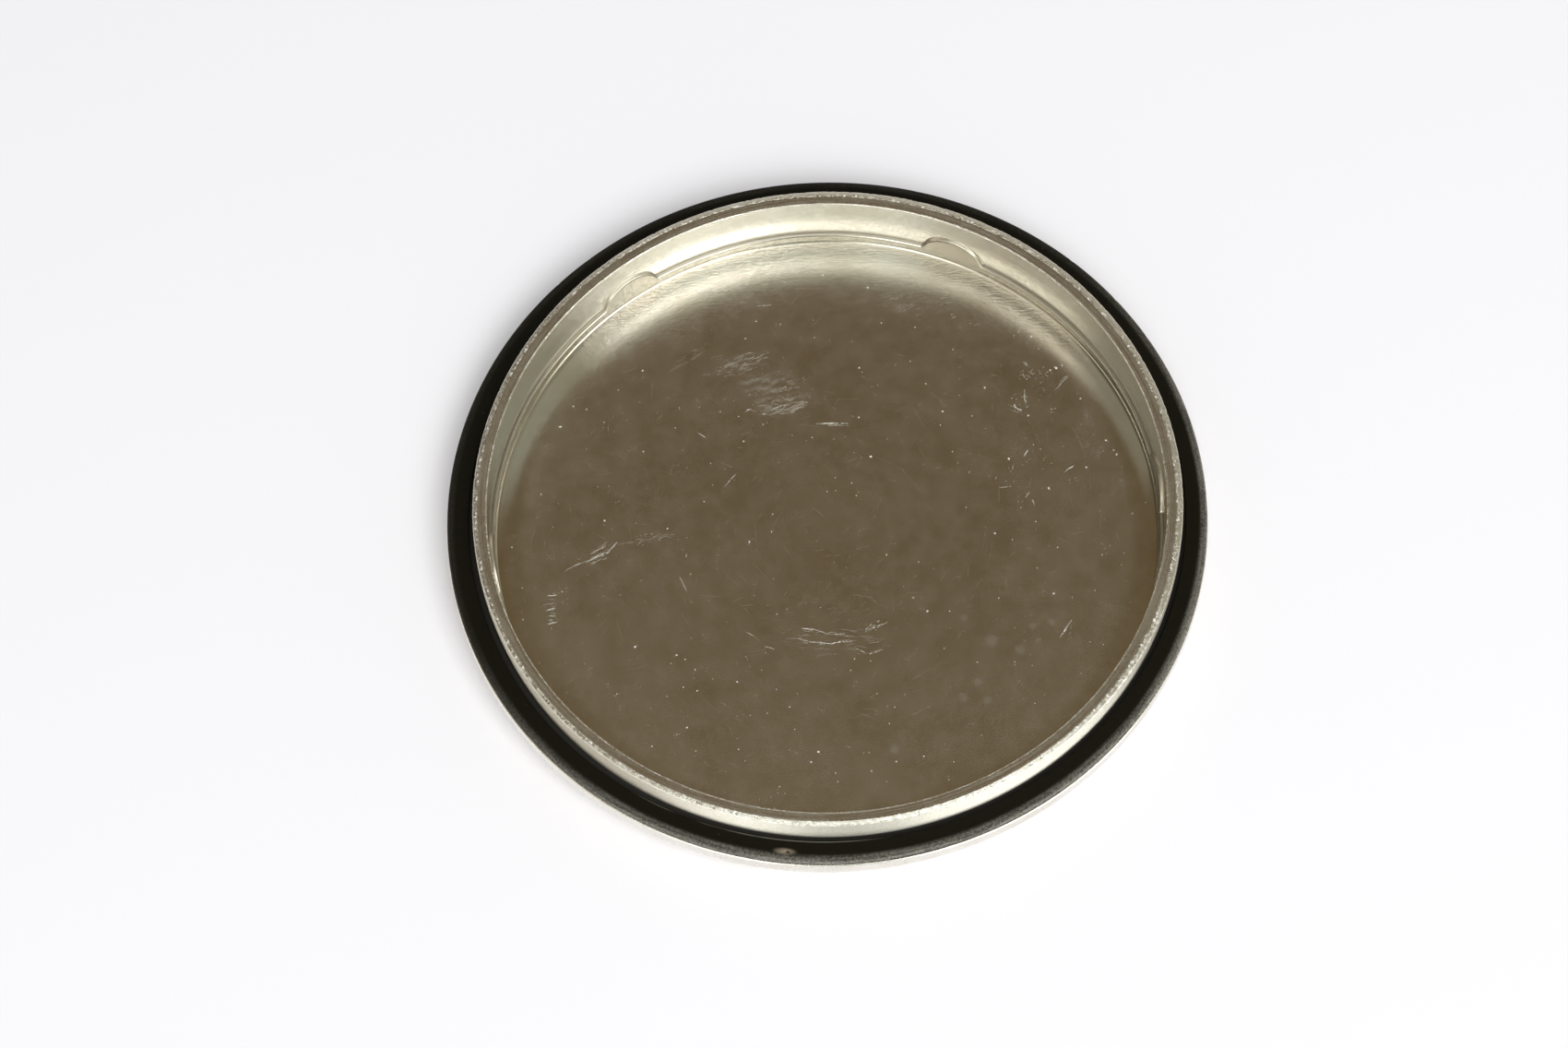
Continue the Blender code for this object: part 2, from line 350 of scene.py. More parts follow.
# --------------------------------------------------------------- floor marks
# Single marks: x0, y0, x1, y1, half width, strength
STROKES = [
    (-14.5, 18.1, -10.9, 20.2, 0.10, 0.30), (-11.9, 11.1, -11.3, 10.6, 0.09, 0.90),
    (-9.5, 5.2, -8.5, 6.4, 0.10, 0.60), (-7.2, 13.2, -6.7, 13.4, 0.12, 1.00),
    (-0.5, 11.4, 2.6, 11.2, 0.11, 0.80), (-5.6, 24.9, -4.2, 24.9, 0.07, 0.50),
    (-25.2, -3.0, -22.8, -2.0, 0.12, 0.70), (-22.8, -2.0, -21.0, -1.3, 0.14, 1.00),
    (-21.0, -1.3, -20.2, -0.3, 0.10, 0.90), (-22.8, -1.4, -21.2, -0.5, 0.08, 0.70),
    (-20.1, -0.5, -18.3, -0.3, 0.16, 0.45), (-18.3, -0.3, -16.1, 0.1, 0.14, 0.35),
    (-16.1, 0.1, -14.6, 0.2, 0.14, 0.35),
    (-26.9, -5.5, -26.1, -5.5, 0.11, 0.80), (-27.1, -7.1, -26.3, -6.9, 0.13, 0.80),
    (-27.0, -8.5, -26.1, -8.3, 0.12, 0.90), (-26.9, -6.4, -26.3, -6.3, 0.09, 0.60),
    (-26.8, -7.7, -26.3, -7.6, 0.09, 0.70),
    (-14.3, -4.3, -13.7, -5.8, 0.07, 0.50), (-8.2, -10.5, -7.5, -10.9, 0.09, 0.60),
    (-6.5, -12.1, -5.5, -12.5, 0.09, 0.60),
    (-2.9, -10.4, -1.8, -10.6, 0.12, 1.00), (-1.8, -10.6, -0.6, -11.1, 0.09, 0.60),
    (-0.6, -11.1, 1.1, -11.2, 0.11, 0.75), (-3.3, -11.5, -2.1, -11.9, 0.11, 0.80),
    (-2.1, -11.9, -0.3, -12.2, 0.12, 0.90), (-0.3, -12.2, 1.8, -12.0, 0.12, 0.90),
    (2.1, -7.2, 3.4, -7.4, 0.07, 0.35), (3.4, -7.4, 4.4, -8.2, 0.07, 0.35),
    (3.4, -11.0, 5.1, -10.3, 0.10, 0.90), (3.1, -13.5, 4.3, -13.2, 0.10, 0.70),
    (2.0, -12.8, 2.9, -13.3, 0.09, 0.50),
    (21.4, -12.7, 22.6, -11.0, 0.13, 0.90), (23.0, 13.9, 24.4, 15.4, 0.10, 0.70),
    (20.0, 17.1, 20.5, 16.5, 0.09, 0.70), (18.8, 12.3, 19.1, 11.9, 0.11, 1.00),
    (19.1, 11.9, 19.7, 11.7, 0.11, 1.00), (19.9, 14.0, 19.9, 12.6, 0.09, 0.70),
    (19.6, 13.2, 20.2, 13.2, 0.08, 0.70), (22.3, 11.7, 22.9, 11.8, 0.10, 0.60),
    (19.4, 6.7, 19.8, 7.3, 0.12, 0.80), (23.2, 4.9, 24.1, 5.4, 0.10, 0.80),
    (16.9, 3.4, 17.9, 3.5, 0.08, 0.60), (19.8, 2.0, 20.0, 1.3, 0.11, 0.70),
    (19.2, 2.2, 19.6, 2.8, 0.09, 0.60), (18.3, 5.9, 18.2, 5.3, 0.09, 0.50),
]
# Bright pin-pricks: x, y, radius, strength
PRICKS = [
    (-2.0, -23.2, 0.20, 1.0), (20.1, 11.1, 0.16, 0.9), (17.9, 6.5, 0.20, 1.0),
    (21.5, 3.1, 0.18, 1.0), (16.1, 14.4, 0.13, 0.8), (4.6, 7.5, 0.18, 1.0),
    (28.3, 6.4, 0.14, 0.8), (-25.3, 12.6, 0.18, 1.0), (-17.1, 18.3, 0.13, 0.9),
    (25.3, 12.7, 0.14, 0.7), (27.4, 8.0, 0.16, 0.8), (-7.5, -1.0, 0.18, 0.9),
    (-21.3, 2.1, 0.13, 0.8), (-15.3, 0.9, 0.13, 0.8), (-7.6, 9.9, 0.14, 0.7),
    (-18.8, -11.4, 0.15, 0.8), (-14.9, -12.5, 0.12, 0.9), (-14.1, -13.0, 0.12, 0.8),
    (-13.2, -14.1, 0.11, 0.8), (-13.1, -16.3, 0.12, 0.8), (-9.3, -15.6, 0.14, 0.8),
    (-14.2, -20.0, 0.14, 0.8), (-5.8, -26.5, 0.12, 0.8), (7.8, -24.2, 0.14, 0.8),
    (5.2, -24.6, 0.12, 0.9), (23.2, 16.2, 0.22, 0.8), (22.6, 16.0, 0.13, 0.8),
    (23.8, 16.5, 0.13, 0.8),
]
# Brushed patches: centre x, y, half sizes, turn of the patch; its marks' turn
# and spread, shortest and longest, number, half width, strength
MARK_PATCHES = [
    (-7.1, 18.5, 2.2, 0.95, 20, 17, 8, 0.25, 1.0, 30, 0.022, 0.62),
    (-7.6, 18.3, 2.6, 1.2, 20, 17, 20, 0.10, 0.4, 26, 0.020, 0.50),
    (-3.2, 13.3, 2.3, 0.60, 12, 14, 9, 0.25, 1.2, 40, 0.024, 0.72),
    (-3.9, 13.9, 3.2, 0.90, 12, 14, 16, 0.15, 0.6, 30, 0.018, 0.50),
    (-6.3, 15.8, 1.4, 0.9, 0, 20, 40, 0.15, 0.5, 34, 0.018, 0.42),
    (-2.6, 16.0, 2.6, 0.8, 8, 8, 14, 0.20, 0.9, 26, 0.016, 0.44),
    (-13.0, 19.3, 2.2, 0.5, 30, 30, 6, 0.30, 1.2, 12, 0.014, 0.40),
    (0.4, -11.8, 4.0, 1.0, -3, -4, 8, 0.25, 1.0, 16, 0.014, 0.45),
    (1.5, -8.0, 5.0, 3.2, 15, 14, 14, 0.25, 1.0, 22, 0.012, 0.30),
    (3.9, -10.5, 1.1, 0.6, 30, 30, 12, 0.15, 0.5, 12, 0.022, 0.80),
    (-21.6, -1.6, 2.2, 0.45, 28, 28, 6, 0.3, 1.2, 22, 0.020, 0.60),
    (-17.0, 0.0, 2.4, 0.45, 6, 8, 14, 0.15, 0.8, 34, 0.016, 0.46),
    (-26.6, -7.0, 0.6, 1.8, 0, 2, 14, 0.15, 0.6, 34, 0.018, 0.48),
    (21.2, 15.8, 1.6, 0.7, 0, 20, 60, 0.12, 0.5, 26, 0.022, 0.66),
    (22.6, 14.2, 1.2, 1.2, 40, 55, 18, 0.15, 0.7, 14, 0.020, 0.55),
    (19.2, 12.6, 1.1, 1.2, 0, 70, 60, 0.12, 0.4, 16, 0.022, 0.66),
    (21.5, 13.6, 3.2, 3.4, 0, 40, 50, 0.10, 0.4, 20, 0.016, 0.40),
    (19.2, 4.6, 3.0, 3.2, 0, 30, 55, 0.10, 0.4, 24, 0.020, 0.52),
    (10.8, 24.2, 5.0, 2.2, -22, 18, 16, 0.2, 0.8, 8, 0.011, 0.30),
    (21.8, -12.0, 0.8, 1.3, 0, 55, 8, 0.2, 0.7, 8, 0.018, 0.45),
]
MARK_PROUD = 0.003              # height of a mark above the floor
MARK_DEPTH = 0.009              # its thickness, which sinks into the floor


class MarkSheet:
    """Gathers flat marks that follow the floor, in three grades of brightness."""

    def __init__(self, seed):
        self.verts, self.faces, self.grades = [], [], []
        self.draw = random.Random(seed)

    def put(self, x, y):
        self.verts.append((x * MM, y * MM, (floor_height(x, y) + MARK_PROUD) * MM))
        return len(self.verts) - 1

    def face(self, corners, strength):
        self.faces.append(corners)
        self.grades.append(0 if strength > 0.75 else 1 if strength > 0.45 else 2)

    def sliver(self, x0, y0, x1, y1, half, strength, bend, ragged):
        """A tapered, ragged strip with gaps, bowed sideways by bend."""
        draw = self.draw
        length = math.hypot(x1 - x0, y1 - y0)
        if length < 0.02:
            return
        count = max(3, min(14, int(length / 0.16)))
        run_x, run_y = (x1 - x0) / length, (y1 - y0) / length
        before = None
        drift = 0.0
        for i in range(count + 1):
            t = i / count
            drift = drift * 0.6 + draw.uniform(-1, 1) * 0.022
            side = bend * length * 4 * t * (1 - t) + drift
            x = x0 + run_x * length * t - run_y * side
            y = y0 + run_y * length * t + run_x * side
            width = half * (math.sin(math.pi * min(1, max(0, 0.06 + 0.88 * t))) ** 0.6)
            width *= draw.uniform(1 - ragged, 1 + 0.3 * ragged)
            width = max(width, 0.010)
            pair = (self.put(x - run_y * width, y + run_x * width),
                    self.put(x + run_y * width, y - run_x * width))
            if before is not None and draw.random() > 0.10 * ragged:
                self.face((before[0], before[1], pair[1], pair[0]), strength)
            before = pair

    def prick(self, x, y, size, strength):
        """A small uneven polygon."""
        draw = self.draw
        count = draw.choice((5, 6, 7))
        turn = draw.uniform(0, math.pi)
        squeeze = draw.uniform(0.6, 1.0)
        corners = []
        for i in range(count):
            angle = 2 * math.pi * i / count
            reach = size * draw.uniform(0.7, 1.1)
            px, py = reach * math.cos(angle), reach * math.sin(angle) * squeeze
            corners.append(self.put(x + px * math.cos(turn) - py * math.sin(turn),
                                    y + px * math.sin(turn) + py * math.cos(turn)))
        self.face(tuple(corners), strength)

    def spot(self, limit):
        """A random radius and angle, even over a disc."""
        return limit * math.sqrt(self.draw.random()), self.draw.uniform(0, 2 * math.pi)


def add_strokes(sheet):
    draw = sheet.draw
    for x0, y0, x1, y1, half, strength in STROKES:
        sheet.sliver(x0, y0, x1, y1, half * 0.50, strength, draw.uniform(-0.04, 0.04), 0.9)
        # loose hairs beside the mark
        for _ in range(5 if strength > 0.6 else 2):
            t0 = draw.uniform(-0.15, 0.6)
            t1 = t0 + draw.uniform(0.25, 0.6)
            off_x, off_y = draw.gauss(0, 0.09), draw.gauss(0, 0.09)
            sheet.sliver(x0 + off_x + (x1 - x0) * t0, y0 + off_y + (y1 - y0) * t0,
                         x0 + off_x + (x1 - x0) * t1, y0 + off_y + (y1 - y0) * t1,
                         draw.uniform(0.012, 0.026), strength * draw.uniform(0.45, 0.85),
                         0.0, 0.8)


def add_pricks(sheet):
    draw = sheet.draw
    for x, y, size, strength in PRICKS:
        sheet.prick(x, y, size * 0.80, strength)
        if draw.random() < 0.5:
            sheet.prick(x + draw.uniform(-0.25, 0.25), y + draw.uniform(-0.25, 0.25),
                        size * 0.3, 0.6)


def add_patches(sheet):
    draw = sheet.draw
    for (centre_x, centre_y, half_x, half_y, turn, run, spread, short, long, count,
         half, strength) in MARK_PATCHES:
        cos, sin = math.cos(math.radians(turn)), math.sin(math.radians(turn))
        for _ in range(count):
            while True:
                u, v = draw.uniform(-1, 1), draw.uniform(-1, 1)
                if u * u + v * v < 1:
                    break
            x = centre_x + u * half_x * cos - v * half_y * sin
            y = centre_y + u * half_x * sin + v * half_y * cos
            way = math.radians(run + draw.gauss(0, spread))
            length = short + (long - short) * draw.random() ** 1.5
            sheet.sliver(x - math.cos(way) * length / 2, y - math.sin(way) * length / 2,
                         x + math.cos(way) * length / 2, y + math.sin(way) * length / 2,
                         half * draw.uniform(0.5, 1.3), strength * draw.uniform(0.5, 1.2),
                         draw.uniform(-0.06, 0.06), 0.8)


def add_hairs_and_dust(sheet):
    draw = sheet.draw
    for _ in range(300):
        reach, angle = sheet.spot(30.3)
        x, y = reach * math.cos(angle), reach * math.sin(angle)
        if draw.random() < 0.45:
            way = angle + math.pi / 2 + draw.gauss(0, 0.25)
        else:
            way = draw.choice((0.25, -0.6, 1.2)) + draw.gauss(0, 0.35)
        length = draw.uniform(0.3, 1.0) * draw.choice((1.0, 1.0, 2.2))
        end_x, end_y = x + math.cos(way) * length, y + math.sin(way) * length
        if math.hypot(end_x, end_y) > 30.6:
            continue
        sheet.sliver(x, y, end_x, end_y, draw.uniform(0.010, 0.016), 0.3,
                     draw.uniform(-0.05, 0.05), 0.5)
    for _ in range(900):
        reach, angle = sheet.spot(30.6)
        big = draw.random() ** 4
        sheet.prick(reach * math.cos(angle), reach * math.sin(angle), 0.022 + 0.05 * big,
                    0.3 + 0.6 * big)


def thicken(mesh):
    """Turn all faces up, then close each mark with sides and an underside."""
    bm = bmesh.new()
    bm.from_mesh(mesh)
    bmesh.ops.dissolve_degenerate(bm, edges=bm.edges, dist=1e-8)
    bm.normal_update()
    bmesh.ops.reverse_faces(bm, faces=[f for f in bm.faces if f.normal.z < 0])
    bm.normal_update()
    tops = list(bm.faces)
    below = {v: bm.verts.new((v.co.x, v.co.y, v.co.z - MARK_DEPTH * MM))
             for v in list(bm.verts)}
    for top in tops:
        under = bm.faces.new([below[v] for v in reversed(top.verts)])
        under.material_index = top.material_index
    for edge in [e for e in bm.edges if len(e.link_faces) == 1 and e.verts[0] in below]:
        top = edge.link_faces[0]
        loop = next(lp for lp in top.loops if lp.edge == edge)
        start, end = loop.vert, loop.link_loop_next.vert
        side = bm.faces.new((end, start, below[start], below[end]))
        side.material_index = top.material_index
    loose = [v for v in bm.verts if not v.link_faces]
    bmesh.ops.delete(bm, geom=loose, context='VERTS')
    bm.to_mesh(mesh)
    bm.free()
    mesh.update()


def build_marks():
    sheet = MarkSheet(404)
    add_strokes(sheet)
    add_pricks(sheet)
    add_patches(sheet)
    add_hairs_and_dust(sheet)
    mesh = bpy.data.meshes.new("floor_marks")
    mesh.from_pydata(sheet.verts, [], sheet.faces)
    mesh.polygons.foreach_set("material_index", sheet.grades)
    mesh.update()
    thicken(mesh)
    return link_object("floor_marks", mesh)


shell = build_shell()
collar = build_collar()
liner = build_liner()
seal = build_seal()
marks = build_marks()


# ----------------------------------------------------------- shader helpers
class Field:
    """A node's output. Arithmetic on it adds Math nodes to its tree."""

    def __init__(self, net, socket):
        self.net = net
        self.socket = socket

    def __add__(self, other):
        return self.net.math('ADD', self, other)

    def __sub__(self, other):
        return self.net.math('SUBTRACT', self, other)

    def __rsub__(self, other):
        return self.net.math('SUBTRACT', other, self)

    def __mul__(self, other):
        return self.net.math('MULTIPLY', self, other)

    def __truediv__(self, other):
        return self.net.math('DIVIDE', self, other)

    def max(self, other):
        return self.net.math('MAXIMUM', self, other)

    def scaled(self, factor, offset):
        return self.net.math('MULTIPLY_ADD', self, factor, offset)

    def ramp(self, start, end, at_start=0.0, at_end=1.0):
        """Ease from at_start to at_end as the value goes from start to end."""
        node = self.net.new("ShaderNodeMapRange", {
            "Value": self, "From Min": start, "From Max": end,
            "To Min": at_start, "To Max": at_end}, interpolation_type='SMOOTHSTEP')
        return self.net.out(node, "Result")

    def window(self, low, high, soft):
        """1 between low and high, 0 outside, with soft ends."""
        return (self.ramp(low - soft, low + soft)
                * self.ramp(high - soft, high + soft, 1.0, 0.0))


class Nodes:
    """Writes a node tree. Values are Fields or constants; colours are RGB."""

    def __init__(self, tree):
        self.tree = tree
        self.x = 0              # nodes step to the right in the editor

    def put(self, socket, value):
        if isinstance(value, Field):
            self.tree.links.new(value.socket, socket)
        else:
            socket.default_value = value

    def fill(self, node, inputs):
        for key, value in inputs.items():
            self.put(node.inputs[key], value)

    def new(self, kind, inputs=None, **props):
        node = self.tree.nodes.new(kind)
        self.x += 40
        node.location = (self.x, 0)
        for key, value in props.items():
            setattr(node, key, value)
        self.fill(node, inputs or {})
        return node

    def out(self, node, key=0):
        return Field(self, node.outputs[key])

    def math(self, operation, *values, clamp=False):
        return self.out(self.new("ShaderNodeMath", dict(enumerate(values)),
                                 operation=operation, use_clamp=clamp))

    def vmath(self, operation, *values):
        node = self.new("ShaderNodeVectorMath", dict(enumerate(values)), operation=operation)
        return self.out(node, 1 if operation == 'LENGTH' else 0)

    def mix(self, factor, first, second):
        first, second = (c if isinstance(c, Field) else (*c, 1) for c in (first, second))
        return self.out(self.new("ShaderNodeMix", {0: factor, 6: first, 7: second},
                                 data_type='RGBA'), 2)

    def noise(self, place, scale, detail=2.0, rough=0.5, output=0):
        return self.out(self.new("ShaderNodeTexNoise", {
            "Scale": scale, "Detail": detail, "Roughness": rough, "Vector": place}), output)

    def cells(self, place, scale):
        """Distance to the cell's centre, and three random values per cell."""
        node = self.new("ShaderNodeTexVoronoi", {"Scale": scale, "Vector": place})
        split = self.new("ShaderNodeSeparateColor", {0: self.out(node, "Color")})
        return self.out(node, "Distance"), [self.out(split, i) for i in range(3)]

    def mapping(self, place, scale=(1, 1, 1), turn=(0, 0, 0), shift=(0, 0, 0)):
        return self.out(self.new("ShaderNodeMapping", {
            "Scale": scale, "Rotation": turn, "Location": shift, "Vector": place}))

    def turn_z(self, place, degrees):
        return self.out(self.new("ShaderNodeVectorRotate", {
            "Vector": place, "Angle": -math.radians(degrees)}, rotation_type='Z_AXIS'))

    def split(self, place):
        node = self.new("ShaderNodeSeparateXYZ", {0: place})
        return [self.out(node, i) for i in range(3)]

    def combine(self, x, y, z):
        return self.out(self.new("ShaderNodeCombineXYZ", {0: x, 1: y, 2: z}))


def start(name, metallic=0.0):
    """A new material, its Nodes, its Principled node and the place in mm."""
    mat = bpy.data.materials.new(name)
    mat.use_nodes = True
    mat.node_tree.nodes.clear()
    net = Nodes(mat.node_tree)
    output = net.new("ShaderNodeOutputMaterial")
    bsdf = net.new("ShaderNodeBsdfPrincipled", {"Metallic": metallic})
    net.put(output.inputs[0], net.out(bsdf))
    coords = net.new("ShaderNodeTexCoord")
    place = net.new("ShaderNodeVectorMath", {0: net.out(coords, "Object"), "Scale": 1 / MM},
                    operation='SCALE')
    return mat, net, bsdf, net.out(place)


def polar(net, place):
    """x, y, z, radius and angle of a place."""
    x, y, z = net.split(place)
    radius = net.math('SQRT', x * x + y * y)
    return x, y, z, radius, net.math('ARCTAN2', y, x)


def facing(net, angle, centre):
    """1 at the centre angle (radians), -1 on the opposite side."""
    return net.math('COSINE', angle - centre)


def bump(net, height, strength, distance, normal=None):
    """distance is in metres."""
    inputs = {"Strength": strength, "Distance": distance, "Height": height}
    if normal is not None:
        inputs["Normal"] = normal
    return net.out(net.new("ShaderNodeBump", inputs))


def anisotropic(net, bsdf, amount):
    """Turned metal: fine grooves that run round the axis."""
    tangent = net.new("ShaderNodeTangent", direction_type='RADIAL', axis='Z')
    net.fill(bsdf, {"Tangent": net.out(tangent), "Anisotropic": amount,
                    "Anisotropic Rotation": 0.25})


def turning(net, angle, radius, z, around, across, detail):
    """Noise drawn out round the axis, as from a lathe."""
    place = net.combine(angle * around, radius * across, z * across)
    return net.noise(place, scale=1.0, detail=detail, rough=0.6)


def specks(net, place, scale, share, size, seed):
    """Small round marks: each cell may hold one. Returns a 0 to 1 mask."""
    shifted = net.mapping(place, shift=(seed, seed * 1.7, 0))
    distance, (chance, big, strong) = net.cells(shifted, scale)
    present = net.math('LESS_THAN', chance, share)
    reach = big.scaled(size * 0.7, size * 0.3)
    mask = (distance / reach).ramp(0.45, 1.0, 1.0, 0.0)
    return mask * present * strong.scaled(0.6, 0.4)


def streaks(net, place, degrees, along, across, low, high, seed):
    """Fine parallel marks at an angle: turned first, then stretched."""
    turned = net.turn_z(place, degrees)
    stretched = net.mapping(turned, scale=(along, across, 1), shift=(seed, seed, 0))
    return net.noise(stretched, scale=1.0, detail=2.0, rough=0.55).ramp(low, high)


def blob(net, place, x, y, half_x, half_y, degrees, soft=0.6):
    """A soft-edged ellipse in the floor's plane, 1 inside and 0 outside."""
    turned = net.turn_z(net.vmath('SUBTRACT', place, (x, y, 0)), degrees)
    unit = net.vmath('MULTIPLY', turned, (1.0 / half_x, 1.0 / half_y, 0))
    return net.vmath('LENGTH', unit).ramp(1 - soft, 1.0, 1.0, 0.0)


def drop(net, place, x, y, size):
    distance = net.vmath('LENGTH', net.vmath('SUBTRACT', place, (x, y, 0)))
    return distance.ramp(size * 0.3, size, 1.0, 0.0)


def largest(masks):
    """Given a generator, folds in each mask before the next is made, which
    keeps few values alive at once in the shader."""
    return reduce(Field.max, masks)


# ----------------------------------------------------------------- materials
METAL = (0.85, 0.825, 0.765)


def dimmed(*factors):
    return tuple(part * factor for part, factor in zip(METAL, factors))


# Brushed patches: centre x, y, half sizes, turn of the patch; turn of its
# marks, stretch along and across, noise cut low and high, seed, amount
BRUSHED = [
    (-7.3, 18.4, 3.2, 1.6, 17, 17, 0.9, 3.6, 0.40, 0.75, 1.0, 0.16),
    (-3.7, 13.7, 3.8, 1.6, 10, 10, 0.9, 3.6, 0.40, 0.75, 4.0, 0.20),
    (-4.8, 15.9, 4.2, 2.2, 8, 8, 0.60, 2.0, 0.40, 0.75, 7.0, 0.12),
    (0.4, -12.0, 7.5, 2.4, -3, -3, 0.35, 6.0, 0.58, 0.78, 9.0, 0.35),
    (26.0, 8.5, 1.6, 4.5, 12, 80, 0.50, 2.5, 0.45, 0.75, 11.0, 0.07),
    (10.5, 24.4, 6.5, 2.8, -20, 20, 0.60, 6.0, 0.50, 0.75, 13.0, 0.10),
    (20.5, 20.5, 4.5, 2.0, -42, 60, 0.60, 5.0, 0.52, 0.74, 15.0, 0.10),
]
# Fine hairs: turn, stretch along and across, noise cut low and high, seed
HAIRS = [(12, 0.22, 9.0, 0.66, 0.80, 21.0), (-35, 0.25, 8.0, 0.68, 0.80, 27.0),
         (88, 0.25, 8.0, 0.68, 0.80, 31.0)]
# Dried drops: x, y, radius
DROPS = [
    (18.9, -11.4, 0.55), (20.7, -11.1, 0.50), (19.4, -12.9, 0.35),
    (11.9, -18.4, 0.65), (14.1, -18.8, 0.55), (13.3, -16.9, 0.60),
    (5.1, -23.3, 0.70), (12.5, -10.2, 0.50), (14.9, -12.7, 0.90),
    (17.5, -13.8, 0.70), (8.3, 23.7, 0.80),
]


def liner_wear(net, flat, bent, radius, angle):
    """Mask of brushed patches, hairs and dust on the floor."""
    brushed = largest(blob(net, flat, *row[:5]) * streaks(net, bent, *row[5:11]) * row[11]
                      for row in BRUSHED)
    hairs = [streaks(net, bent, *row) for row in HAIRS]
    arcs = net.noise(net.combine(angle * 2.2, radius * 5.0, 0.0),
                     scale=1.0, detail=2, rough=0.55).ramp(0.66, 0.80)
    hair = largest([*hairs, arcs]) * 0.07
    dust = specks(net, flat, scale=0.75, share=0.30, size=0.11, seed=3.0).max(
        specks(net, flat, scale=1.7, share=0.22, size=0.085, seed=9.0) * 0.5)
    on_floor = radius.ramp(30.9, 31.2, 1.0, 0.0)
    return brushed.max(hair).max(dust) * on_floor


def liner_look():
    mat, net, bsdf, place = start("liner_metal_look")
    x, y, _, radius, angle = polar(net, place)
    flat = net.combine(x, y, 0.0)
    # bend the marks, so that none is a ruled line
    colour = net.noise(flat, scale=1.3, output="Color")
    shift = net.vmath('MULTIPLY', net.vmath('SUBTRACT', colour, (0.5, 0.5, 0.5)),
                      (0.5, 0.5, 0.0))
    bent = net.vmath('ADD', flat, shift)
    wear = liner_wear(net, flat, bent, radius, angle)

    cloud = net.noise(flat, scale=0.10, detail=4, rough=0.6)
    small_cloud = net.noise(flat, scale=0.45, detail=3, rough=0.6)
    drops = largest(drop(net, flat, *row) for row in DROPS)

    # colour: cloudy, faintly mottled with brown, paler where worn
    tint = net.mix(cloud.ramp(0.35, 0.70), METAL, dimmed(0.90, 0.88, 0.84))
    mottle = net.noise(flat, scale=1.3, detail=4, rough=0.7)
    tint = net.mix(mottle.ramp(0.38, 0.66), tint, net.mix(0.06, tint, (0.40, 0.34, 0.26)))
    tint = net.mix(wear * 0.9, tint, (0.80, 0.78, 0.72))
    # the turned-up side is a little darker, and its cut edge is duller
    side = radius.ramp(LINER_R - 0.12, LINER_R - 0.03, 0.0, 0.75)
    tint = net.mix(side, tint, (0.56, 0.52, 0.44))
    # and on the right its corner is darker
    dull = (radius.ramp(LINER_R - 0.32, LINER_R - 0.18)
            * facing(net, angle, 0.22).ramp(0.86, 0.97))
    tint = net.mix(dull * 0.75, tint, (0.30, 0.275, 0.22))
    cut = radius.ramp(LINER_R + 0.035, LINER_R + 0.065)
    tint = net.mix(cut, tint, (0.52, 0.49, 0.43))
    metallic = 1.0 - net.math('ADD', wear * 0.75, drops * 0.05, clamp=True)

    # roughness: cloudy, more with wear and grain, less near the polished
    # corner, more on the cut edge
    grain = net.noise(net.mapping(bent, scale=(0.9, 4.5, 1), turn=(0, 0, -0.3)),
                      scale=1.0, detail=4, rough=0.7)
    rough = (small_cloud.ramp(0.30, 0.72, 0.225, 0.265) + wear * 0.30
             + grain.ramp(0.45, 0.72, 0.0, 0.012)
             + radius.ramp(28.6, 30.6, 0.0, -0.08) + cut * 0.22)

    # relief: rubbed all over, grainy towards the far edge
    rub = net.noise(net.mapping(flat, scale=(1.6, 0.8, 1)), scale=1.6, detail=4, rough=0.65)
    fine_rub = net.noise(net.mapping(flat, scale=(5.0, 1.2, 1), turn=(0, 0, 0.3)),
                         scale=1.0, detail=3, rough=0.6)
    height = rub * 0.6 + fine_rub * 0.4
    far = y.ramp(12, 24) * radius.ramp(19, 27)
    height = height + grain * far * 1.3
    relief = 0.20               # bump strength away from the far edge
    normal = bump(net, height, strength=relief, distance=0.00002)
    net.fill(normal.socket.node, {"Strength": far.scaled(0.60, relief)})
    net.fill(bsdf, {"Base Color": tint, "Metallic": metallic, "Roughness": rough,
                    "Normal": normal})
    return mat


